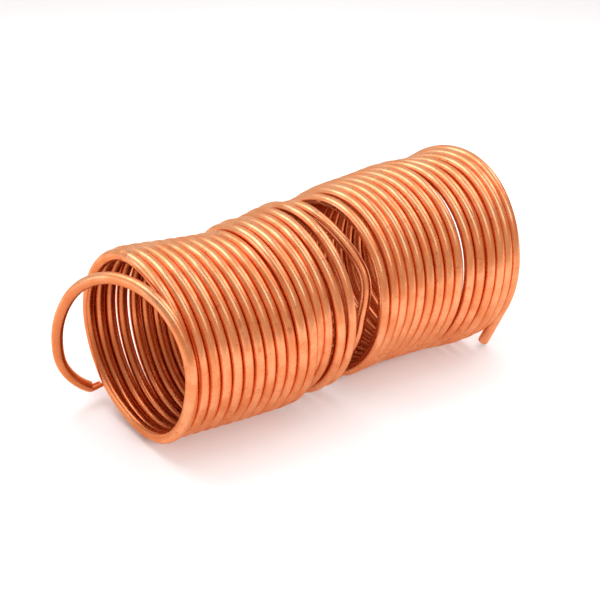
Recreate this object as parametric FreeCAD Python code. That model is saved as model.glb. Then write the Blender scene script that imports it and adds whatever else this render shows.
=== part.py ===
import FreeCAD, Part
import math
import os

# Immersion wort chiller: one length of soft copper tube, wound by hand into a loose coil
# that lies on its side. The coil runs along +X, from the end with the free loop to the end
# with the straight tail. +Y points to its far side and +Z up. Wort stands round the turns,
# and cooling water enters at one end of the tube and leaves at the other.
#
# A place on the tube is given in turns. At each whole turn the tube is on the far side, a
# quarter turn later at the top, at half a turn on the near side, at three quarters at the
# bottom. Sizes are in millimetres.

Vector = FreeCAD.Vector

# The tube
TUBE_OD = 9.525
TUBE_WALL = 0.81
LEAST_GAP = 0.4

# What the coil stands on takes a shallow flat off the bottom of each turn
FLAT_DEPTH = 0.5

# Where one stretch of the tube gives way to the next, in turns
LOOP_END = 1.25
FRONT_END = 11.75
MIDDLE_END = 15.75
CROSSOVER_END = 17.25
REAR_END = 31.575

# The winding, as (turn, value) stations: the space left between a turn and the next, the
# radius of the tube's middle line, which swells from the waist, how far the coil wanders
# sideways, and how far the top and the far side of a turn lean along the coil
TURN_GAP = ((0, 0.6), (11, 0.6), (12.5, 3.6), (15.5, 1.8), (16.25, 12), (17, 12.8), (18, 0.8), (20, 0.7),
            (26, 2.3), (32, 4.3))
FRONT_RADIUS = 79.7
WAIST_NARROWING = 1.7
WAIST_RADIUS = FRONT_RADIUS - WAIST_NARROWING
MIDDLE_SWELL = 3
CROSSOVER_SWELL = 7
REAR_SWELL = 4
LAST_SWELL = 12
SIDEWAYS = ((0, 5), (11, -4), (21, 8), (25, 8), (29, -2), (32, 3))
TOP_LEAN = ((0, -2), (16, -1.6), (17.3, 12), (29, 12), (32, 7))
FAR_LEAN = ((0, -2), (12, -2.3), (14, -8), (25, -8), (32, 5))
RADIUS = ((0, FRONT_RADIUS), (10, WAIST_RADIUS), (12.3, WAIST_RADIUS + MIDDLE_SWELL), (14, WAIST_RADIUS),
          (16, WAIST_RADIUS + CROSSOVER_SWELL), (17.5, WAIST_RADIUS + REAR_SWELL),
          (32, WAIST_RADIUS + LAST_SWELL))

# Where a turn has been pushed out of line: (middle of the dent in turns, its reach each way
# in turns, how far along the coil it is pushed, how far in towards the axis). The last two
# are the loose turn that crosses the gap between the middle and the rear winding.
DENTS = ((13.75, 0.7, 3, 4.6), (15.25, 0.5, -3.4, 2.8), (16.25, 0.75, 13.7, 0), (16.6, 0.6, 11, 33))

# The free loop that springs away from the front winding, from its pinched tip to where it
# joins the winding: (turn, how far along from the join, how far outside the winding there)
LOOP_POINTS = ((-0.12, -12, 17.5), (-0.073, -38.5, -6.5), (-0.021, -43, -19), (0.076, -42, -26),
               (0.185, -34, -19.5), (0.283, -20, -6.5), (0.375, -7, 6.5), (0.455, -0.5, 10.5),
               (0.535, -0.5, 8.5), (0.618, -1.5, 3), (0.7, -1.5, -3), (0.78, -1.5, -6), (0.87, -2, -2.5),
               (1, -3, 0))

# The tip, where pliers pinched the tube: past a short shoulder its upper wall lies close to
# the lower one, and it points up a little, away from the tube's line
TIP_LENGTH = 14
TIP_SHOULDER = 2.2
TIP_ROOT_WIDTH = 10
TIP_ROOT_THICKNESS = 4
TIP_MOUTH_WIDTH = 8.6
TIP_MOUTH_THICKNESS = 2.6
TIP_DIRECTION = (0.98, 0.1, 0.05)

# The straight tail at the other end, cut off square
TAIL_LENGTH = 45

TUBE_RADIUS = TUBE_OD / 2
BORE_RADIUS = TUBE_RADIUS - TUBE_WALL
FULL_TURN = 2 * math.pi
HALF = 0.5
QUARTER = 0.25
NEXT_TO_END = 0.125


def between(stations, turn):
    """The value at a turn, easing from each station to the next."""
    for (first, low), (last, high) in zip(stations, stations[1:]):
        if turn <= last:
            break
    share = min(max((turn - first) / (last - first), 0), 1)
    return low + (high - low) * share * share * (3 - 2 * share)


def total(stations, turn):
    """What the eased values add up to from the first station to a turn."""
    added = 0
    for (first, low), (last, high) in zip(stations, stations[1:]):
        share = min(max((turn - first) / (last - first), 0), 1)
        added += (last - first) * (low * share + (high - low) * (share ** 3 - share ** 4 / 2))
        if turn <= last:
            break
    return added


def dent(turn):
    """How far a turn is pushed along the coil and in towards its axis."""
    along = 0
    inward = 0
    for middle, reach, pushed_along, pushed_in in DENTS:
        if abs(turn - middle) < reach:
            share = math.cos(math.pi / 2 * (turn - middle) / reach) ** 2
            along += pushed_along * share
            inward += pushed_in * share
    return along, inward


def around(turn, along, radius):
    """A point at a radius round the coil's axis, which keeps the bottom of each turn on the floor."""
    angle = FULL_TURN * turn
    height = between(RADIUS, turn) + TUBE_RADIUS - FLAT_DEPTH
    return Vector(
        along,
        between(SIDEWAYS, turn) + radius * math.cos(angle),
        height + radius * math.sin(angle),
    )


def centre_line(turn):
    """The middle of the tube at a turn of the winding."""
    angle = FULL_TURN * turn
    pushed_along, pushed_in = dent(turn)
    along = TUBE_OD * turn + total(TURN_GAP, turn) + pushed_along
    along += between(TOP_LEAN, turn) * math.sin(angle) + between(FAR_LEAN, turn) * math.cos(angle)
    return around(turn, along, between(RADIUS, turn) - pushed_in)


def heading(turn):
    """The direction in which the tube runs at a turn of the winding."""
    step = 0.002
    return (centre_line(turn + step) - centre_line(turn - step)).normalize()


def middle_of_arc(start, end, direction):
    """The middle of the arc that leaves start in a direction and ends at end."""
    chord = end - start
    along = Vector(chord).normalize()
    off = direction - along * direction.dot(along)
    angle = along.getAngle(direction)
    return (start + end) * 0.5 + off.normalize() * (chord.Length / 2 * math.tan(angle / 2))


def biarc(start, leaving, end, arriving):
    """Two arcs that meet smoothly, from a point and heading to a point and heading."""
    chord = end - start
    across = chord.dot(leaving + arriving)
    turned = 2 * (leaving.dot(arriving) - 1)
    root = math.sqrt(across * across - turned * chord.dot(chord))
    reach = chord.dot(chord) / (across + root)
    join = (start + leaving * reach + end - arriving * reach) * 0.5
    first = middle_of_arc(start, join, leaving)
    second = middle_of_arc(end, join, arriving * -1)
    return [Part.Arc(start, first, join).toShape(), Part.Arc(join, second, end).toShape()]


def path_through(points, headings, straight_start, straight_end):
    """A smooth wire through points, with a straight run of one tube diameter at the ends asked for."""
    points = list(points)
    edges = []
    if straight_start:
        inner = points[0] + headings[0] * TUBE_OD
        edges.append(Part.LineSegment(points[0], inner).toShape())
        points[0] = inner
    last_edge = []
    if straight_end:
        inner = points[-1] - headings[-1] * TUBE_OD
        last_edge.append(Part.LineSegment(inner, points[-1]).toShape())
        points[-1] = inner
    for i in range(len(points) - 1):
        edges += biarc(points[i], headings[i], points[i + 1], headings[i + 1])
    return Part.Wire(edges + last_edge)


def winding_path(first, last, step):
    """The path of a stretch of the winding, on biarcs of a given part of a turn."""
    inner_first = first + NEXT_TO_END
    inner_last = last - NEXT_TO_END
    count = max(1, math.ceil((inner_last - inner_first) / step))
    turns = [inner_first + (inner_last - inner_first) * i / count for i in range(count + 1)]
    turns = [first] + turns + [last]
    return path_through([centre_line(t) for t in turns], [heading(t) for t in turns], True, True)


def loop_path():
    """The free loop, from its pinched tip to the front winding."""
    join = centre_line(LOOP_END)
    points = [
        around(turn, join.x + stand_off, between(RADIUS, LOOP_END) + swell)
        for turn, stand_off, swell in LOOP_POINTS
    ]
    points.append(join)
    headings = []
    for before, here, after in zip(points, points[1:], points[2:]):
        arriving = here - before
        leaving = after - here
        round_three = arriving * (1 / arriving.dot(arriving)) + leaving * (1 / leaving.dot(leaving))
        headings.append(round_three.normalize())
    first_chord = (points[1] - points[0]).normalize()
    headings.insert(0, first_chord * (2 * first_chord.dot(headings[0])) - headings[0])
    headings.append(heading(LOOP_END))
    return path_through(points, headings, True, True)


def disc(centre, direction, radius):
    """A round profile across a path."""
    return Part.Wire([Part.Circle(centre, direction, radius).toShape()])


def tube_along(path, start, direction):
    """A tube with an open bore that follows a path."""
    outside = path.makePipeShell([disc(start, direction, TUBE_RADIUS)], True, False)
    bore = path.makePipeShell([disc(start, direction, BORE_RADIUS)], True, False)
    return outside.cut(bore).Solids[0]


def start_of(path):
    """The first point of a path and the direction in which it leaves."""
    edge = path.OrderedEdges[0]
    if edge.Orientation == "Reversed":
        return edge.valueAt(edge.LastParameter), edge.tangentAt(edge.LastParameter) * -1
    return edge.valueAt(edge.FirstParameter), edge.tangentAt(edge.FirstParameter)


def oval(centre, direction, across, width, thickness):
    """An oval profile across a direction, with its long axis another way."""
    if width > thickness:
        outline = Part.Ellipse(Vector(), width / 2, thickness / 2)
    else:
        outline = Part.Circle(Vector(), Vector(0, 0, 1), width / 2)
    wire = Part.Wire([outline.toShape()])
    turned = FreeCAD.Rotation(across, direction.cross(across), direction, "ZXY")
    wire.Placement = FreeCAD.Placement(centre, turned)
    return wire


def tip_rings(shoulder, leaving):
    """The outer and inner profiles of the pinched tip, from the round tube to its mouth."""
    bill = Vector(*TIP_DIRECTION).normalize()
    across = bill.cross(leaving).normalize()
    halfway = (leaving + bill).normalize()
    root = shoulder + halfway * TIP_SHOULDER
    mouth = root + bill * (TIP_LENGTH - TIP_SHOULDER)
    pressed_down = (TUBE_OD - TIP_ROOT_THICKNESS) / 2
    profiles = (
        (shoulder, leaving, TUBE_OD, TUBE_OD, 0),
        (root, halfway, TIP_ROOT_WIDTH, TIP_ROOT_THICKNESS, pressed_down),
        (mouth, bill, TIP_MOUTH_WIDTH, TIP_MOUTH_THICKNESS, pressed_down),
    )
    outer = []
    inner = []
    for place, direction, width, thickness, drop in profiles:
        centre = place - direction.cross(across) * drop
        outer.append(oval(centre, direction, across, width, thickness))
        inner.append(oval(centre, direction, across, width - 2 * TUBE_WALL, thickness - 2 * TUBE_WALL))
    return outer, inner


def pinched_tip(shoulder, leaving):
    """The tip that the pliers left on the free end, with its mouth not quite shut."""
    outer, inner = tip_rings(shoulder, leaving)
    return Part.makeLoft(outer, True, True).cut(Part.makeLoft(inner, True, True)).Solids[0]


def least_gap(paths):
    """The least space between a place on the tube and any other turn of it, measured on points."""
    spacing = TUBE_OD / 2
    points = []
    for path in paths:
        points += path.discretize(Number=max(2, int(path.Length / spacing)))[:-1]
    widest = max(radius for turn, radius in RADIUS)
    near = int(FULL_TURN * widest / 2 / spacing)
    far = int(FULL_TURN * widest * 2.2 / spacing)
    least = None
    for i, point in enumerate(points):
        for j in range(i + near, min(i + far, len(points) - 1)):
            side = points[j + 1] - points[j]
            share = min(max((point - points[j]).dot(side) / side.dot(side), 0), 1)
            distance = (points[j] + side * share - point).Length
            if least is None or distance < least:
                least = distance
    return least - TUBE_OD


def bends(path):
    """The smallest and the largest radius to which a path bends."""
    radii = [edge.Curve.Radius for edge in path.Edges if hasattr(edge.Curve, "Radius")]
    return [round(radius, 1) for radius in (min(radii), max(radii))] if radii else ["none"]


def build():
    """Every stretch of the tube, in the row's frame."""
    paths = {
        "inlet_loop": loop_path(),
        "front_winding": winding_path(LOOP_END, FRONT_END, HALF),
        "middle_winding": winding_path(FRONT_END, MIDDLE_END, QUARTER),
        "crossover_turn": winding_path(MIDDLE_END, CROSSOVER_END, QUARTER),
        "rear_winding": winding_path(CROSSOVER_END, REAR_END, HALF),
    }
    tail_start = centre_line(REAR_END)
    tail_end = tail_start + heading(REAR_END) * TAIL_LENGTH
    paths["outlet_tail"] = Part.Wire([Part.LineSegment(tail_start, tail_end).toShape()])

    pieces = {}
    for name, path in paths.items():
        start, direction = start_of(path)
        pieces[name] = tube_along(path, start, direction)
        section = math.pi * (TUBE_RADIUS ** 2 - BORE_RADIUS ** 2)
        print(name, "length", round(path.Length, 1), "volume over section times length",
              round(pieces[name].Volume / (section * path.Length), 4), "bends of", *bends(path))
    shoulder, towards_coil = start_of(paths["inlet_loop"])
    pieces["inlet_tip"] = pinched_tip(shoulder, towards_coil * -1)
    gap = least_gap(list(paths.values()))
    print("whole tube", round(sum(path.Length for path in paths.values())), "least gap to itself", round(gap, 2))
    if gap < LEAST_GAP:
        print("warning: the turns are closer than", LEAST_GAP)

    everything = Part.Compound(list(pieces.values())).optimalBoundingBox(False)
    floor = Part.makeBox(
        everything.XLength + TUBE_OD, everything.YLength + TUBE_OD, TUBE_OD,
        Vector(everything.XMin - TUBE_RADIUS, everything.YMin - TUBE_RADIUS, -TUBE_OD),
    )
    to_origin = Vector(-everything.Center.x, -everything.Center.y, 0)
    for name, piece in pieces.items():
        if piece.BoundBox.ZMin < 0:
            piece = piece.cut(floor).Solids[0]
        piece.translate(to_origin)
        pieces[name] = piece
    return pieces


os.makedirs("parts", exist_ok=True)
for name, piece in build().items():
    piece.exportStep("parts/" + name + ".step")
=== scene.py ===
"""Looks of the immersion wort chiller: one hand-wound copper tube that lies on its side.

Every length is in metres, in the frame of the construction model. A place on the tube is given in
turns: at each whole turn the tube is on the far side of the coil, a quarter turn later at the top,
at half a turn on the near side and at three quarters at the bottom. What says that it is in
millimetres is turned into metres when its mesh is made.
"""

import logging
import math
from dataclasses import dataclass
from enum import Enum
from functools import cached_property
from typing import Any, Sequence

import bpy
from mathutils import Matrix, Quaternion, Vector


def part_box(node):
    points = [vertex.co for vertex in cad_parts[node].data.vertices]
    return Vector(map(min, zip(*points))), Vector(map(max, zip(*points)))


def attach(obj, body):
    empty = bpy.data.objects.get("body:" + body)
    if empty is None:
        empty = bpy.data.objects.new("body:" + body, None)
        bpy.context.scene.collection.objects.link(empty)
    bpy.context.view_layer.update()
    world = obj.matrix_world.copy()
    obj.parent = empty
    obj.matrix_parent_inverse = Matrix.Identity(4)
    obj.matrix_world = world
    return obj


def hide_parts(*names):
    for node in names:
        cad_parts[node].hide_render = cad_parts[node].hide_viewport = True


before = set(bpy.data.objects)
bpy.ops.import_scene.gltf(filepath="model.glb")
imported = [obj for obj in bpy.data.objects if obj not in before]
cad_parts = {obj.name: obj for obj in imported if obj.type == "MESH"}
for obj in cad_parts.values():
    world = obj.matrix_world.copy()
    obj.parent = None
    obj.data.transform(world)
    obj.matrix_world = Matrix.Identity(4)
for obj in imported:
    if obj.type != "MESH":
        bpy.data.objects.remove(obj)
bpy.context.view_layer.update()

log = logging.getLogger("chiller")

MM = 0.001
FULL_TURN = 2 * math.pi
UNBENT = "unbent"

Stations = Sequence[tuple[float, float]]
Sockets = dict[str | int, Any]
Colour = tuple[float, float, float, float]
Edges = tuple[float, float, float, float]
Scale = tuple[float, float, float]


def share_of(first: float, last: float, turn: float) -> float:
    """How far a turn lies between two stations, from 0 to 1."""
    return min(max((turn - first) / (last - first), 0.0), 1.0)


def between(stations: Stations, turn: float) -> float:
    """The value at a turn, easing from each station to the next.

    Args:
        stations: Pairs of a turn and a value there.
        turn: The turn that is asked for.

    Returns:
        The eased value.
    """
    for (first, low), (last, high) in zip(stations, stations[1:]):
        if turn <= last:
            break
    share = share_of(first, last, turn)
    return low + (high - low) * share * share * (3 - 2 * share)


def total(stations: Stations, turn: float) -> float:
    """What the eased values add up to from the first station to a turn.

    Args:
        stations: Pairs of a turn and a value there.
        turn: The turn up to which the values are added.

    Returns:
        The sum over the turns.
    """
    added = 0.0
    for (first, low), (last, high) in zip(stations, stations[1:]):
        share = share_of(first, last, turn)
        added += (last - first) * (low * share + (high - low) * (share**3 - share**4 / 2))
        if turn <= last:
            break
    return added


@dataclass(frozen=True)
class Dent:
    """A place where a turn has been pushed out of line, in turns and millimetres."""

    middle: float
    reach: float
    along: float
    inward: float

    def share(self, turn: float) -> float:
        """How much of the push a turn gets.

        Args:
            turn: The turn that is asked for.

        Returns:
            A share from 0 to 1.
        """
        if abs(turn - self.middle) >= self.reach:
            return 0.0
        return math.cos(math.pi / 2 * (turn - self.middle) / self.reach) ** 2


@dataclass(frozen=True)
class Coil:
    """The middle line of the wound tube, in millimetres.

    The construction model keeps its turns apart, where on the real coil most of them touch, so the
    dressed tube is thicker all round by the length called touch. Turn_gap is what lies between a
    turn and the next, top_lean and far_lean say how far the top and the far side of a turn lean
    along the coil, and far_draw how far the far side alone is drawn along it. The kink belongs to
    the loose turn that crosses the gap in the coil.
    """

    tube_od: float = 9.525
    tube_wall: float = 0.81
    touch: float = 0.28
    flat_depth: float = 0.5
    loop_end: float = 1.25
    front_end: float = 11.75
    middle_end: float = 16.75
    rear_start: float = 18.25
    rear_end: float = 32.575
    tail_length: float = 54
    heading_step: float = 0.002
    rear_samples: int = 600
    turn_gap: Stations = (
        (0, 1.4), (1, 0.7), (10, 0.7), (10.7, -0.7), (11.5, 1.4), (12.5, 1.3), (16.5, 1.3),
        (17.25, 12.8), (18, 15.3), (19, 0.7), (23, 0.8), (25, 0.9), (26.4, 0.8), (27, 5.3),
        (27.6, 1.2), (29, 2.8), (31, 3.5), (33, 3.3),
    )
    radius: Stations = (
        (0, 80), (10, 77.8), (11.8, 80.9), (13.2, 80.2), (15.2, 81.6), (17, 75.4), (18.6, 82.2),
        (21, 83.4), (28, 86.8), (33, 89.2),
    )
    sideways: Stations = ((0, 3.8), (11, -5.1), (22, 10.4), (26, 8.3), (30, 0.5), (33, 5.4))
    top_lean: Stations = ((0, -1), (17, 0.5), (18.3, 8.5), (30, 9.6), (33, 3.7))
    far_lean: Stations = ((0, -1.8), (26, -3.1), (33, 5.7))
    far_draw: Stations = (
        (0, 1.6), (3, 1), (4, 2.1), (5, 3.75), (6.5, 4), (16, 7), (19, -2.1), (26, -1.1),
        (27, -3.2), (28, -6.7), (29, -10.2), (30, -14.4), (31, -15.3), (33, -16),
    )
    dents: tuple[Dent, ...] = (
        Dent(13.75, 0.4, -3.2, 11.1),
        Dent(14.7, 0.5, -2.8, 5.4),
        Dent(16.25, 0.5, 5.2, -8.4),
        Dent(32.8, 0.3, -4, 0),
    )
    kink_along: Stations = (
        (16.5, 0), (16.8, 5.4), (17.05, 5.4), (17.25, 1.5), (17.4, 19), (17.52, 12.6),
        (17.65, 9.7), (17.8, 6), (18.1, 0),
    )
    kink_inward: Stations = (
        (16.5, 0), (16.8, 0), (17.05, 2.7), (17.25, -12.1), (17.4, 7.1), (17.52, 15.4),
        (17.65, 13.6), (17.8, 6.1), (18.1, 0),
    )

    @property
    def seen_od(self) -> float:
        """The width of the dressed tube."""
        return self.tube_od + 2 * self.touch

    def axis(self, turn: float, along: float) -> Vector:
        """The point on the coil's axis at a turn."""
        height = between(self.radius, turn) + self.tube_od / 2 - self.flat_depth
        return Vector((along, between(self.sideways, turn), height))

    def around(self, turn: float, along: float, radius: float) -> Vector:
        """The point at a radius round the coil's axis."""
        angle = FULL_TURN * turn
        spoke = Vector((0, radius * math.cos(angle), radius * math.sin(angle)))
        return self.axis(turn, along) + spoke

    def raw(self, turn: float) -> Vector:
        """The middle of the tube at a turn.

        Args:
            turn: The turn that is asked for.

        Returns:
            The point, from the coil's own start.
        """
        angle = FULL_TURN * turn
        far = math.cos(angle)
        along = self.tube_od * turn + total(self.turn_gap, turn) + between(self.kink_along, turn)
        along += sum(dent.along * dent.share(turn) for dent in self.dents)
        along += between(self.top_lean, turn) * math.sin(angle) + between(self.far_lean, turn) * far
        along += between(self.far_draw, turn) * far * (1 + far) / 2
        inward = between(self.kink_inward, turn)
        inward += sum(dent.inward * dent.share(turn) for dent in self.dents)
        return self.around(turn, along, between(self.radius, turn) - inward)

    def heading(self, turn: float) -> Vector:
        """The direction in which the tube runs at a turn."""
        return (self.raw(turn + self.heading_step) - self.raw(turn - self.heading_step)).normalized()

    def sampled(self, first: float, last: float, count: int) -> list[Vector]:
        """Points on the tube's middle line, close together and evenly spaced in turns."""
        return [self.raw(first + (last - first) * step / count) for step in range(count + 1)]

    @cached_property
    def shift(self) -> Vector:
        """The way from the coil's own start to the model's origin, read off the rear winding.

        Returns:
            The way, in metres.
        """
        low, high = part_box("rear_winding")
        line = self.sampled(self.rear_start, self.rear_end, self.rear_samples)
        reach = max(point.x for point in line) + self.tube_od / 2
        sides = max(point.y for point in line) + min(point.y for point in line)
        return Vector((high[0] - reach * MM, (low[1] + high[1] - sides * MM) / 2, 0.0))


@dataclass(frozen=True)
class Route:
    """Evenly spaced points along a stretch of the tube, in metres."""

    points: tuple[Vector, ...]
    outward: tuple[Vector, ...]
    start: float

    @property
    def length(self) -> float:
        """The stretch's length."""
        return sum((b - a).length for a, b in zip(self.points, self.points[1:]))


class TubeEnd(Enum):
    """How the ends of a stretch are finished."""

    CLOSED = "closed"
    OPEN = "open"


def evenly(dense: Sequence[Vector], spacing: float) -> list[tuple[Vector, float]]:
    """Spaces points evenly along a line.

    Args:
        dense: Points close together along the line.
        spacing: The step that is wanted.

    Returns:
        The new points, each with its share of the way along the old ones.
    """
    reached = [0.0]
    for a, b in zip(dense, dense[1:]):
        reached.append(reached[-1] + (b - a).length)
    count = max(2, round(reached[-1] / spacing))
    placed = []
    at = 0
    for step in range(count + 1):
        goal = reached[-1] * step / count
        while at < len(dense) - 2 and reached[at + 1] < goal:
            at += 1
        part = (goal - reached[at]) / (reached[at + 1] - reached[at])
        placed.append((dense[at].lerp(dense[at + 1], part), (at + part) / (len(dense) - 1)))
    return placed


class Socket:
    """A shader value that can be written into sums, as numbers are."""

    def __init__(self, shader: "Shader", output: bpy.types.NodeSocket | None) -> None:
        """Keeps the node output and the shader that it belongs to."""
        self.shader = shader
        self.output = output

    def _sum(self, operation: str, *values: Any) -> "Socket":
        """Adds one Math node."""
        return self.shader.node("ShaderNodeMath", {"operation": operation}, dict(enumerate(values)))

    def __add__(self, other: Any) -> "Socket":
        """This plus other."""
        return self._sum("ADD", self, other)

    def __radd__(self, other: Any) -> "Socket":
        """Other plus this."""
        return self._sum("ADD", other, self)

    def __sub__(self, other: Any) -> "Socket":
        """This less other."""
        return self._sum("SUBTRACT", self, other)

    def __rsub__(self, other: Any) -> "Socket":
        """Other less this."""
        return self._sum("SUBTRACT", other, self)

    def __mul__(self, other: Any) -> "Socket":
        """This times other."""
        return self._sum("MULTIPLY", self, other)

    def __rmul__(self, other: Any) -> "Socket":
        """Other times this."""
        return self._sum("MULTIPLY", other, self)

    def beside(self, output: str) -> "Socket":
        """Another output of the same node."""
        return Socket(self.shader, self.output.node.outputs[output])

    def rise(self, low: float, high: float) -> "Socket":
        """A smooth step from 0 at low to 1 at high."""
        settings = {"interpolation_type": "SMOOTHSTEP"}
        sockets = {"Value": self, "From Min": low, "From Max": high}
        return self.shader.node("ShaderNodeMapRange", settings, sockets)

    def within(self, low: float, first: float, last: float, high: float) -> "Socket":
        """A smooth step up from low to first, and down again from last to high."""
        return self.rise(low, first) * (1 - self.rise(last, high))


class Shader:
    """The node tree of one material, or of the world."""

    def __init__(self, owner: bpy.types.Material | bpy.types.World) -> None:
        """Starts an empty tree."""
        owner.use_nodes = True
        self.tree = owner.node_tree
        self.tree.nodes.clear()

    def node(
        self, kind: str, settings: dict[str, Any], sockets: Sockets, output: str | int = 0
    ) -> Socket:
        """Adds a node.

        Args:
            kind: The node's type.
            settings: What is set on the node itself, before its sockets.
            sockets: A value or a link for each socket by name or number.
            output: Which output is wanted.

        Returns:
            The output, ready for further sums.
        """
        made = self.tree.nodes.new(kind)
        for name, value in settings.items():
            setattr(made, name, value)
        for name, value in sockets.items():
            if isinstance(value, Socket):
                self.tree.links.new(value.output, made.inputs[name])
            else:
                made.inputs[name].default_value = value
        return Socket(self, made.outputs[output] if made.outputs else None)

    def mix(self, share: Any, low: Any, high: Any) -> Socket:
        """Mixes two colours.

        Args:
            share: How much of the second colour there is, a number or a socket.
            low: The colour at a share of 0.
            high: The colour at a share of 1.

        Returns:
            The mixed colour.
        """
        made = self.tree.nodes.new("ShaderNodeMix")
        made.data_type = "RGBA"
        for name, value in (("Factor_Float", share), ("A_Color", low), ("B_Color", high)):
            socket = next(s for s in made.inputs if s.identifier == name)
            if isinstance(value, Socket):
                self.tree.links.new(value.output, socket)
            else:
                socket.default_value = value
        return Socket(self, next(s for s in made.outputs if s.identifier == "Result_Color"))

    def noise(self, at: Socket, scale: float, detail: float, rough: float) -> Socket:
        """Soft noise at places."""
        return self.node(
            "ShaderNodeTexNoise", {"noise_dimensions": "3D"},
            {"Vector": at, "Scale": scale, "Detail": detail, "Roughness": rough},
        )

    def stretched(self, at: Socket, scale: Scale) -> Socket:
        """Places scaled by a factor each way."""
        return self.node("ShaderNodeVectorMath", {"operation": "MULTIPLY"}, {0: at, 1: scale})


@dataclass(frozen=True)
class Copper:
    """Bare drawn copper tube: satin, a little scuffed, with a warm tarnish in patches.

    The side of the tube that faces the coil's axis, and its flanks where the turns touch, are mixed
    towards a dark red: partly tarnish, partly painted shade for the dark inside of the coil and the
    valleys between turns. Drawn, grain, waves and nicks say about how many drawing lines, grains,
    slow waves from the winding and small nicks there are to a metre, along the tube and both ways
    across it.
    """

    bright: Colour = (0.9, 0.37, 0.178, 1)
    warm: Colour = (0.79, 0.265, 0.105, 1)
    stain: Colour = (0.48, 0.125, 0.045, 1)
    # partly tarnish, partly painted shade for the coil's dark inside and the valleys between turns
    tarnish_and_shade: Colour = (0.61, 0.17, 0.054, 1)
    edge_tint: Colour = (1.0, 0.78, 0.6, 1)
    polish: float = 0.17
    dull: float = 0.32
    drawn: Scale = (9, 1100, 1100)
    grain: Scale = (420, 700, 700)
    waves: Scale = (38, 60, 60)
    nicks: Scale = (160, 330, 330)
    inner_side: float = -0.0024
    outer_side: float = 0.0016
    relief: float = 0.55
    relief_depth: float = 0.0009

    def make(self) -> bpy.types.Material:
        """Builds the material.

        Returns:
            The copper, which reads its pattern from where the surface was before the tube was bent.
        """
        copper = bpy.data.materials.new("copper")
        shader = Shader(copper)
        at = shader.node("ShaderNodeAttribute", {"attribute_name": UNBENT}, {}, "Vector")
        drawn = shader.noise(shader.stretched(at, self.drawn), 1.0, 3.0, 0.6)
        patches = shader.noise(at, 42, 3.0, 0.55)
        smudges = shader.noise(at, 150, 4.0, 0.65)
        grain = shader.noise(shader.stretched(at, self.grain), 1.0, 2.0, 0.6)
        waves = shader.noise(shader.stretched(at, self.waves), 1.0, 1.0, 0.4)
        specks = shader.node(
            "ShaderNodeTexVoronoi", {"feature": "F1"},
            {"Vector": shader.stretched(at, self.nicks), "Scale": 1.0, "Randomness": 1.0},
            "Distance",
        )
        nick = 1 - specks.rise(0.04, 0.12)
        tone = shader.mix(patches.rise(0.36, 0.66), self.bright, self.warm)
        tone = shader.mix(smudges.rise(0.58, 0.72) * 0.55, tone, self.stain)
        outside = shader.node("ShaderNodeSeparateXYZ", {}, {0: at}, "Y")
        facing = outside.rise(self.inner_side, self.outer_side)
        # painted shade: the side facing the coil's axis and the flanks where turns touch go towards
        # a dark red, partly tarnish and partly shade for the coil's inside and the valleys
        tone = shader.mix(0.8 - facing * 0.8, tone, self.tarnish_and_shade)
        tone = shader.mix(grain.rise(0.5, 0.72) * 0.45, tone, self.warm)
        rough = self.polish + (self.dull - self.polish) * patches.rise(0.3, 0.75)
        rough = rough + drawn.rise(0.35, 0.75) * 0.10 + grain.rise(0.4, 0.7) * 0.05 + nick * 0.12
        height = waves * 0.55 + drawn * 0.025 + smudges * 0.05 + grain * 0.018 - nick * 0.12
        bump = shader.node(
            "ShaderNodeBump", {},
            {"Height": height, "Strength": self.relief, "Distance": self.relief_depth}, "Normal",
        )
        surface = shader.node(
            "ShaderNodeBsdfPrincipled", {},
            {"Base Color": tone, "Metallic": 1.0, "Roughness": rough, "Normal": bump,
             "Specular Tint": self.edge_tint},
        )
        shader.node("ShaderNodeOutputMaterial", {}, {"Surface": surface})
        return copper


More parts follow.
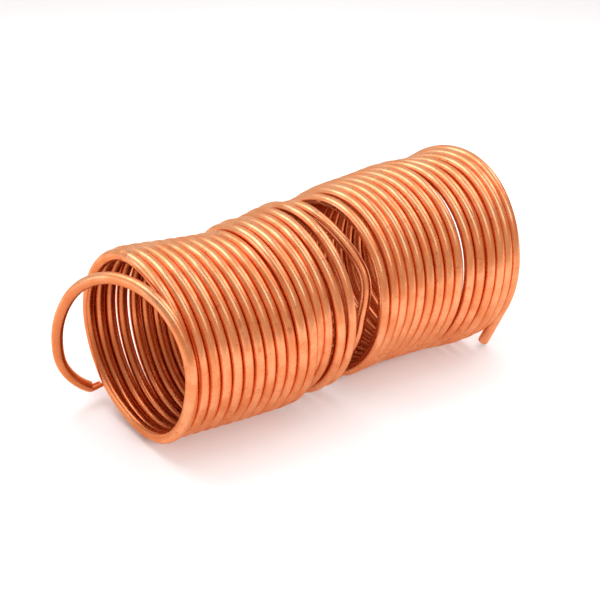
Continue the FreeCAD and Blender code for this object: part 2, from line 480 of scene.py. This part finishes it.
@dataclass
class Stretch:
    """A stretch of the tube between two places of the winding."""

    name: str
    node: str
    coil: Coil
    first: float
    last: float
    start: float = 0.0
    ends: TubeEnd = TubeEnd.CLOSED
    spacing: float = 5
    sides: int = 24
    samples_per_turn: int = 400
    smooth_to: float = 40

    def line(self) -> list[Vector]:
        """The tube's middle line as close points."""
        count = round((self.last - self.first) * self.samples_per_turn)
        return self.coil.sampled(self.first, self.last, count)

    def out(self, share: float, point: Vector) -> Vector:
        """The direction away from the coil's axis.

        Args:
            share: How far along the stretch the point lies, from 0 to 1.
            point: The point.

        Returns:
            The direction, one long.
        """
        turn = self.first + (self.last - self.first) * share
        return (point - self.coil.axis(turn, point.x)).normalized()

    def route(self) -> Route:
        """Places the stretch in the frame of the construction model.

        Returns:
            The route, in metres.
        """
        shift = self.coil.shift
        placed = evenly(self.line(), self.spacing)
        points = tuple(point * MM + shift for point, _ in placed)
        outward = tuple(self.out(share, point) for point, share in placed)
        return Route(points, outward, self.start)

    def build(self) -> bpy.types.Object:
        """Bevels a curve along the route and turns it into a mesh.

        Returns:
            The finished piece, which replaces its node.
        """
        route = self.route()
        bpy.ops.object.select_all(action="DESELECT")
        bpy.ops.curve.primitive_nurbs_path_add()
        piece = bpy.context.object
        piece.name = self.name
        piece.location = (0, 0, 0)
        curve = piece.data
        curve.splines.clear()
        spline = curve.splines.new("POLY")
        spline.points.add(len(route.points) - 1)
        for here, point in zip(spline.points, route.points):
            here.co = (*point, 1)
        curve.bevel_depth = self.coil.seen_od / 2 * MM
        # a bevel has four sides more than twice its resolution
        curve.bevel_resolution = (self.sides - 4) // 2
        curve.use_fill_caps = self.ends is TubeEnd.CLOSED
        bpy.ops.object.convert(target="MESH")
        piece = bpy.context.object
        self.unbend(piece, route)
        if self.ends is TubeEnd.OPEN:
            wall = piece.modifiers.new("wall", "SOLIDIFY")
            wall.thickness = self.coil.tube_wall * MM
            wall.offset = -1
            bpy.ops.object.modifier_apply(modifier=wall.name)
        # the turns are flattened where they stand on the table
        for vertex in piece.data.vertices:
            vertex.co.z = max(vertex.co.z, 0.0)
        bpy.ops.object.shade_smooth_by_angle(angle=math.radians(self.smooth_to))
        return piece

    def unbend(self, piece: bpy.types.Object, route: Route) -> None:
        """Stores where each vertex was before the tube was bent, for the finish to follow.

        Args:
            piece: The tube as a mesh, ring after ring.
            route: The route that it follows.
        """
        mesh = piece.data
        attribute = mesh.attributes.new(UNBENT, "FLOAT_VECTOR", "POINT")
        points = route.points
        reached = route.start
        for ring, point in enumerate(points):
            if ring:
                reached += (point - points[ring - 1]).length
            ahead = (points[min(ring + 1, len(points) - 1)] - points[max(ring - 1, 0)]).normalized()
            up = route.outward[ring]
            up = (up - ahead * up.dot(ahead)).normalized()
            side = ahead.cross(up)
            for corner in range(ring * self.sides, (ring + 1) * self.sides):
                away = mesh.vertices[corner].co - point
                attribute.data[corner].vector = (reached, away.dot(up), away.dot(side))


@dataclass
class FreeLoop(Stretch):
    """The free loop that springs away from the coil, and the near side of the first turn.

    Each of its places gives a turn, how far along the coil it lies from the loop's join, and how far
    it swells out from the winding.
    """

    places: Sequence[tuple[float, float, float]] = (
        (-0.12, -12, 17.5), (-0.073, -38.5, -6.5), (-0.021, -43, -19), (0.076, -42, -26),
        (0.185, -34, -19.5), (0.283, -20, -6.5), (0.375, -7, 6.5), (0.455, -0.5, 10.5),
        (0.535, -1.9, 8.5), (0.618, -3.3, 3.3), (0.7, -3, -3), (0.78, -2.2, -6), (0.87, -1.9, -2.5),
        (1, -2.2, 0),
    )
    fullness: float = 1.02
    steps: int = 32

    def corners(self) -> list[Vector]:
        """The points that the loop passes through.

        Returns:
            The points, from the free end to the join.
        """
        join = self.coil.raw(self.last)
        reach = between(self.coil.radius, self.last)
        found = [
            self.coil.around(turn, join.x + along, reach + swell)
            for turn, along, swell in self.places
        ]
        return found + [join]

    def headings(self) -> list[Vector]:
        """The direction of the tube at each of the loop's points.

        Returns:
            A direction for each of the corners, one long.
        """
        points = self.corners()
        found = []
        for before, here, after in zip(points, points[1:], points[2:]):
            arriving = here - before
            leaving = after - here
            blend = arriving / arriving.length_squared + leaving / leaving.length_squared
            found.append(blend.normalized())
        chord = (points[1] - points[0]).normalized()
        found.insert(0, chord * (2 * chord.dot(found[0])) - found[0])
        return found + [self.coil.heading(self.last)]

    def line(self) -> list[Vector]:
        """The loop's middle line, which eases through its points.

        Returns:
            Close points, from the free end to the join.
        """
        points = self.corners()
        headings = self.headings()
        found = [points[0]]
        for at in range(len(points) - 1):
            reach = (points[at + 1] - points[at]).length * self.fullness
            for step in range(1, self.steps + 1):
                s = step / self.steps
                found.append(
                    points[at] * (2 * s**3 - 3 * s**2 + 1)
                    + headings[at] * (reach * (s**3 - 2 * s**2 + s))
                    + points[at + 1] * (3 * s**2 - 2 * s**3)
                    + headings[at + 1] * (reach * (s**3 - s**2))
                )
        return found

    def out(self, share: float, point: Vector) -> Vector:
        """The direction away from the coil's axis, which the loop swings round."""
        turn = self.places[0][0] + (self.last - self.places[0][0]) * share
        return (point - self.coil.axis(turn, point.x)).normalized()


@dataclass
class Tail(Stretch):
    """The straight end, cut off square, with its bore open."""

    def line(self) -> list[Vector]:
        """Two points, where the tail leaves the winding and where it is cut."""
        start = self.coil.raw(self.coil.rear_end)
        return [start, start + self.coil.heading(self.coil.rear_end) * self.coil.tail_length]

    def out(self, share: float, point: Vector) -> Vector:
        """The direction away from the axis where the tail leaves the winding."""
        start = self.coil.raw(self.coil.rear_end)
        return (start - self.coil.axis(self.coil.rear_end, start.x)).normalized()


@dataclass(frozen=True)
class Ring:
    """One ring of the pinched tip, in millimetres, with its share of the crease."""

    place: Vector
    direction: Vector
    width: float
    thick: float
    drop: float
    crease: float


@dataclass
class PinchedTip:
    """The duckbill where pliers pinched the free end, in millimetres.

    Root and mouth are its width and thickness at its two ends. The crease is the slot that runs
    along its upper side, and slot_sides says how steep the slot's sides are.
    """

    name: str
    node: str
    loop: FreeLoop
    length: float = 13
    shoulder: float = 2.2
    root: tuple[float, float] = (9.8, 5.6)
    mouth: tuple[float, float] = (8.4, 5)
    direction: tuple[float, float, float] = (0.98, 0.1, 0.05)
    crease: float = 3
    slot_sides: float = 2.6
    skin_radius: float = 4.7
    sides: int = 32
    smooth_to: float = 60

    def rings(self) -> list[Ring]:
        """The rings of the bill, from the loop's free end to the mouth.

        Returns:
            Four rings that bend and flatten the round tube, then four along the straight bill.
        """
        coil = self.loop.coil
        start = self.loop.corners()[0]
        leaving = -self.loop.headings()[0]
        bill = Vector(self.direction).normalized()
        halfway = (leaving + bill).normalized()
        root = start + halfway * self.shoulder
        run = self.length - self.shoulder
        broad, flat = self.root
        drop = (coil.tube_od - flat) / 2
        wide = coil.seen_od
        found = [
            Ring(start, leaving, wide, wide, 0.0, 0.0),
            Ring(start + leaving * 0.7, leaving, wide * 0.97, wide * 0.95, 0.1, 0.0),
            Ring(root - bill * 0.4, halfway, broad * 1.01, flat * 1.25, drop * 0.85, 0.3),
            Ring(root + bill * 0.6, halfway, broad, flat, drop, 0.8),
        ]
        for share in (0.3, 0.62, 0.9, 1.0):
            width = broad + (self.mouth[0] - broad) * share
            thick = flat + (self.mouth[1] - flat) * share
            found.append(Ring(root + bill * (run * share), bill, width, thick, drop, 1.0))
        return found

    def build(self) -> bpy.types.Object:
        """Draws a ring of the tube out into a flattened bill, and gives it its wall.

        Returns:
            The finished piece, which replaces its node.
        """
        rings = self.rings()
        radius = self.loop.coil.seen_od / 2 * MM
        bpy.ops.object.select_all(action="DESELECT")
        bpy.ops.mesh.primitive_circle_add(vertices=self.sides, radius=radius)
        piece = bpy.context.object
        piece.name = self.name
        bpy.ops.object.mode_set(mode="EDIT")
        for _ in rings[1:]:
            bpy.ops.mesh.extrude_edges_move()
        bpy.ops.object.mode_set(mode="OBJECT")
        self.shape(piece, rings)
        self.thicken(piece)
        return piece

    def shape(self, piece: bpy.types.Object, rings: Sequence[Ring]) -> None:
        """Moves each ring to its place along the bill.

        Args:
            piece: The rings, one drawn out of the next.
            rings: Where each belongs.
        """
        shift = self.loop.coil.shift
        across = rings[-1].direction.cross(rings[0].direction).normalized()
        mesh = piece.data
        attribute = mesh.attributes.new(UNBENT, "FLOAT_VECTOR", "POINT")
        for number, ring in enumerate(rings):
            upward = ring.direction.cross(across)
            reached = (ring.place - rings[0].place).length
            for corner in range(self.sides):
                angle = FULL_TURN * corner / self.sides
                broad = math.cos(angle)
                high = math.sin(angle)
                rise = high * ring.thick / 2
                if rise > 0:
                    rise -= self.crease * ring.crease * max(0.0, 1 - abs(broad) * self.slot_sides)
                point = ring.place + across * (broad * ring.width / 2) + upward * (rise - ring.drop)
                vertex = mesh.vertices[number * self.sides + corner]
                vertex.co = point * MM + shift
                attribute.data[vertex.index].vector = (
                    -reached * MM, high * self.skin_radius * MM, broad * self.skin_radius * MM
                )

    def thicken(self, piece: bpy.types.Object) -> None:
        """Gives the bill its wall and rounds it.

        Args:
            piece: The bill as a bare skin.
        """
        bpy.ops.object.mode_set(mode="EDIT")
        bpy.ops.mesh.select_all(action="SELECT")
        bpy.ops.mesh.normals_make_consistent(inside=False)
        bpy.ops.object.mode_set(mode="OBJECT")
        wall = piece.modifiers.new("wall", "SOLIDIFY")
        wall.thickness = self.loop.coil.tube_wall * MM
        wall.offset = -1
        bpy.ops.object.modifier_apply(modifier=wall.name)
        rounded = piece.modifiers.new("rounded", "SUBSURF")
        rounded.levels = 2
        rounded.render_levels = 2
        bpy.ops.object.modifier_apply(modifier=rounded.name)
        bpy.ops.object.shade_smooth_by_angle(angle=math.radians(self.smooth_to))


@dataclass(frozen=True)
class SoftBox:
    """A large soft lamp, aimed at the middle of the coil.

    Roll turns it about the way it shines, in degrees, and one that isn't mirrored lights the coil
    without showing in it.
    """

    name: str
    place: tuple[float, float, float]
    width: float
    depth: float
    watts: float
    roll: float = 0.0
    colour: tuple[float, float, float] = (1.0, 0.93, 0.96)
    mirrored: bool = True
    aim: tuple[float, float, float] = (0, 0, 0.08)

    def build(self) -> None:
        """Hangs the lamp."""
        bpy.ops.object.light_add(type="AREA", location=self.place)
        lamp = bpy.context.object
        lamp.name = self.name
        lamp.data.shape = "RECTANGLE"
        lamp.data.size = self.width
        lamp.data.size_y = self.depth
        lamp.data.energy = self.watts
        lamp.data.color = self.colour
        lamp.visible_glossy = self.mirrored
        towards = Vector(self.aim) - Vector(self.place)
        turned = towards.to_track_quat("-Z", "Y") @ Quaternion((0, 0, 1), math.radians(self.roll))
        lamp.rotation_euler = turned.to_euler()


@dataclass(frozen=True)
class Studio:
    """The white table, the lamps and the camera at the photograph's angle.

    In the metal the room is white behind, and warm and dimmer in front, where its strength is walls
    and, high up, ceiling. Room is the strength that lights all else. Lift brightens the table where
    it is seen, except under the coil, between shade_along and shade_over, where the table is left
    unlifted as a painted shadow. Eye is in millimetres from the coil's own start, and yaw and pitch
    are in radians.
    """

    shift: Vector
    lamps: tuple[SoftBox, ...] = (
        SoftBox("long_softbox", (-0.3, -0.5, 1.4), 0.5, 2.6, 8.5, 50),
        SoftBox("crest_light", (-0.25, 0.7, 1.3), 0.6, 1.1, 5.2),
        SoftBox("back_light", (0.5, 0.8, 1.3), 1.5, 1.2, 6.5, mirrored=False),
        SoftBox("right_light", (0.9, -0.15, 1.2), 0.8, 0.9, 4.5),
        SoftBox("left_light", (-1.3, 0.6, 0.5), 0.8, 0.6, 2),
    )
    walls: float = 0.72
    ceiling: float = 0.56
    warm: Colour = (1, 0.84, 0.7, 1)
    cool: Colour = (0.84, 0.98, 1.1, 1)
    room: float = 0.56
    white: Colour = (1, 1, 1, 1)
    tabletop: Colour = (0.86, 0.845, 0.84, 1)
    table_size: float = 8
    lift: Colour = (1.0, 0.965, 0.945, 1)
    lift_strength: float = 0.3
    shade_along: Edges = (-0.18, -0.15, 0.17, 0.2)
    shade_over: Edges = (-0.03, -0.01, 0.09, 0.14)
    eye: tuple[float, float, float] = (-431.0, -834.4, 564.6)
    yaw: float = 0.632
    pitch: float = 0.437
    lens_px: float = 1258
    picture_px: int = 600
    sensor: float = 36

    def camera(self) -> None:
        """Sets the camera where the photograph was taken."""
        bpy.ops.object.camera_add(location=Vector(self.eye) * MM + self.shift)
        camera = bpy.context.object
        towards = Vector((
            math.sin(self.yaw) * math.cos(self.pitch),
            math.cos(self.yaw) * math.cos(self.pitch),
            -math.sin(self.pitch),
        ))
        camera.rotation_euler = towards.to_track_quat("-Z", "Y").to_euler()
        camera.data.sensor_fit = "HORIZONTAL"
        camera.data.sensor_width = self.sensor
        camera.data.lens = self.sensor * self.lens_px / self.picture_px
        camera.data.clip_start = 0.01
        bpy.context.scene.camera = camera

    def table(self) -> None:
        """Lays the white table under the coil."""
        white = bpy.data.materials.new("table")
        shader = Shader(white)
        camera = shader.node("ShaderNodeLightPath", {}, {})
        matte = shader.node("ShaderNodeBsdfDiffuse", {}, {"Color": self.tabletop})
        seen = camera + camera.beside("Is Glossy Ray")
        # painted shadow: under the coil the lift is dropped, so the table reads dark there
        strength = seen * (1 - self.under(shader)) * self.lift_strength
        lift = shader.node("ShaderNodeEmission", {}, {"Color": self.lift, "Strength": strength})
        both = shader.node("ShaderNodeAddShader", {}, {0: matte, 1: lift})
        shader.node("ShaderNodeOutputMaterial", {}, {"Surface": both})
        bpy.ops.mesh.primitive_plane_add(size=self.table_size, location=(0, 0, 0))
        table = bpy.context.object
        table.name = "table"
        table.data.materials.append(white)

    def under(self, shader: Shader) -> Socket:
        """How far a place on the table lies under the coil, left unlifted as a painted shadow.

        Args:
            shader: The table's shader.

        Returns:
            A share from 0 to 1.
        """
        at = shader.node("ShaderNodeTexCoord", {}, {}, "Object")
        along = shader.node("ShaderNodeSeparateXYZ", {}, {0: at}, "X")
        return along.within(*self.shade_along) * along.beside("Y").within(*self.shade_over)

    def world(self) -> None:
        """Surrounds the scene with white, and lets the metal show a warm, dimmer room in front."""
        world = bpy.data.worlds.new("room")
        shader = Shader(world)
        camera = shader.node("ShaderNodeLightPath", {}, {})
        glossy = camera.beside("Is Glossy Ray")
        way = shader.node("ShaderNodeTexCoord", {}, {}, "Generated")
        height = shader.node("ShaderNodeSeparateXYZ", {}, {0: way}, "Z")
        front = 1 - height.beside("Y").rise(-0.1, 0.35)
        high = height.rise(0.35, 0.8)
        lit = self.walls + (self.ceiling - self.walls) * high
        dim = 1 - lit + height.beside("X").rise(0.5, 0.95) * 0.15
        strength = camera + glossy * (1 - front * dim) + (1 - camera - glossy) * self.room
        around = shader.mix(front * (1 - high), self.cool, self.warm)
        tint = shader.mix(glossy, self.white, around)
        surface = shader.node("ShaderNodeBackground", {}, {"Color": tint, "Strength": strength})
        shader.node("ShaderNodeOutputWorld", {}, {"Surface": surface})
        bpy.context.scene.world = world

    def build(self) -> None:
        """Sets the whole studio up."""
        self.table()
        self.world()
        for lamp in self.lamps:
            lamp.build()
        self.camera()


def dress(piece: bpy.types.Object, node: str, finish: bpy.types.Material) -> None:
    """Gives a piece its finish and its place in the model.

    Args:
        piece: The finished mesh.
        node: The node of the construction model that it stands for.
        finish: The material.
    """
    piece.data.materials.clear()
    piece.data.materials.append(finish)
    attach(piece, "root")
    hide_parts(node)
    log.info("%s stands for %s with %d faces", piece.name, node, len(piece.data.polygons))


def main() -> None:
    """Builds the tube from its free end to its tail, then the tip and the studio."""
    logging.basicConfig(level=logging.INFO, format="%(message)s")
    bpy.context.scene.view_settings.view_transform = "Standard"
    coil = Coil()
    copper = Copper().make()
    loop = FreeLoop("free_loop", "inlet_loop", coil, 0.0, coil.loop_end)
    stretches = [
        loop,
        Stretch("front_turns", "front_winding", coil, coil.loop_end, coil.front_end),
        Stretch("middle_turns", "middle_winding", coil, coil.front_end, coil.middle_end),
        Stretch("crossing_turn", "crossover_turn", coil, coil.middle_end, coil.rear_start),
        Stretch("rear_turns", "rear_winding", coil, coil.rear_start, coil.rear_end),
        Tail("straight_tail", "outlet_tail", coil, coil.rear_end, coil.rear_end, ends=TubeEnd.OPEN),
    ]
    reached = 0.0
    for stretch in stretches:
        stretch.start = reached
        dress(stretch.build(), stretch.node, copper)
        reached += stretch.route().length
    tip = PinchedTip("pinched_tip", "inlet_tip", loop)
    dress(tip.build(), tip.node, copper)
    Studio(coil.shift).build()


if __name__ == "__main__":
    main()
